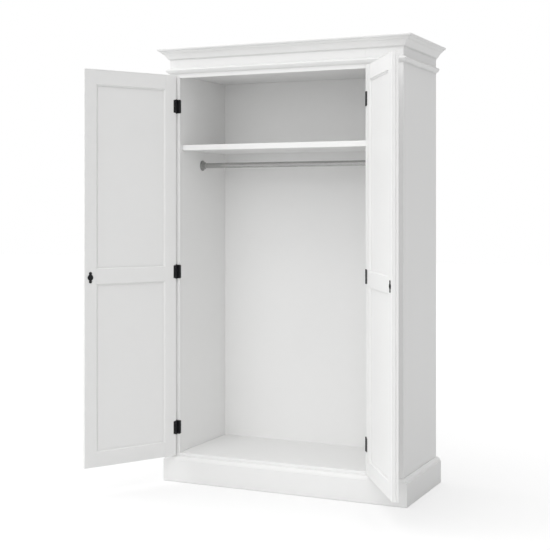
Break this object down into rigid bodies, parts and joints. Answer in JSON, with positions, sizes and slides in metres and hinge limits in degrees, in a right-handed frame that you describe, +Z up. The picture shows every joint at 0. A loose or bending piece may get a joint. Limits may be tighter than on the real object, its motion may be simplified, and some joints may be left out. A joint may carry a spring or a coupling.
{
  "type": "two-door wardrobe",
  "caption": "White painted wardrobe with a cornice, a plinth, framed doors on black butt hinges, a shelf and a hanging rail.",
  "frame": {"origin": "on the floor, in the middle of the front plinth's underside, which is the middle of the carcass's width", "axes": "+Z up, -Y out of the front where the doors are, +X to the right when seen from the front"},
  "size_m": [1.4513, 0.9017, 2],
  "materials": {
    "white_paint": "satin white paint over wood",
    "inside_paint": "matt white paint on the inside boards",
    "black_iron": "black satin iron",
    "brushed_steel": "brushed steel tube"
  },
  "bodies": {
    "carcass": {"back_panel": "inside_paint", "ceiling_board": "inside_paint", "cornice_front": "white_paint", "cornice_left": "white_paint", "cornice_right": "white_paint", "floor_board": "inside_paint", "hanging_rail": "brushed_steel", "header_board": "white_paint", "left_door_bottom_frame_leaf": "black_iron", "left_door_bottom_hinge_pin": "black_iron", "left_door_middle_frame_leaf": "black_iron", "left_door_middle_hinge_pin": "black_iron", "left_door_top_frame_leaf": "black_iron", "left_door_top_hinge_pin": "black_iron", "left_front_stile": "white_paint", "left_rail_flange": "brushed_steel", "left_side_lining": "inside_paint", "left_side_panel": "white_paint", "neck_moulding_front": "white_paint", "neck_moulding_left": "white_paint", "neck_moulding_right": "white_paint", "plinth_front": "white_paint", "plinth_left": "white_paint", "plinth_right": "white_paint", "right_door_bottom_frame_leaf": "black_iron", "right_door_bottom_hinge_pin": "black_iron", "right_door_middle_frame_leaf": "black_iron", "right_door_middle_hinge_pin": "black_iron", "right_door_top_frame_leaf": "black_iron", "right_door_top_hinge_pin": "black_iron", "right_front_stile": "white_paint", "right_rail_flange": "brushed_steel", "right_side_lining": "inside_paint", "right_side_panel": "white_paint", "shelf": "inside_paint", "top_cover": "white_paint"},
    "left_door": {"left_door_bottom_door_leaf": "black_iron", "left_door_bottom_rail": "white_paint", "left_door_hinge_stile": "white_paint", "left_door_inner_plate": "black_iron", "left_door_lock_rail": "white_paint", "left_door_lower_panel": "white_paint", "left_door_meeting_stile": "white_paint", "left_door_middle_door_leaf": "black_iron", "left_door_outer_plate": "black_iron", "left_door_top_door_leaf": "black_iron", "left_door_top_rail": "white_paint", "left_door_upper_panel": "white_paint"},
    "right_door": {"right_door_bottom_door_leaf": "black_iron", "right_door_bottom_rail": "white_paint", "right_door_hinge_stile": "white_paint", "right_door_inner_plate": "black_iron", "right_door_lock_rail": "white_paint", "right_door_lower_panel": "white_paint", "right_door_meeting_stile": "white_paint", "right_door_middle_door_leaf": "black_iron", "right_door_outer_plate": "black_iron", "right_door_top_door_leaf": "black_iron", "right_door_top_rail": "white_paint", "right_door_upper_panel": "white_paint"}
  },
  "joints": [
    {"name": "left_door_hinge", "type": "hinge", "parent": "carcass", "child": "left_door", "pos_m": [-0.5299, 0.0025, 1], "axis": [0, 0, -1], "range_deg": [-119, 5]},
    {"name": "right_door_hinge", "type": "hinge", "parent": "carcass", "child": "right_door", "pos_m": [0.4089, 0.0025, 1], "axis": [0, 0, 1], "range_deg": [-122.5, 2.5]}
  ]
}
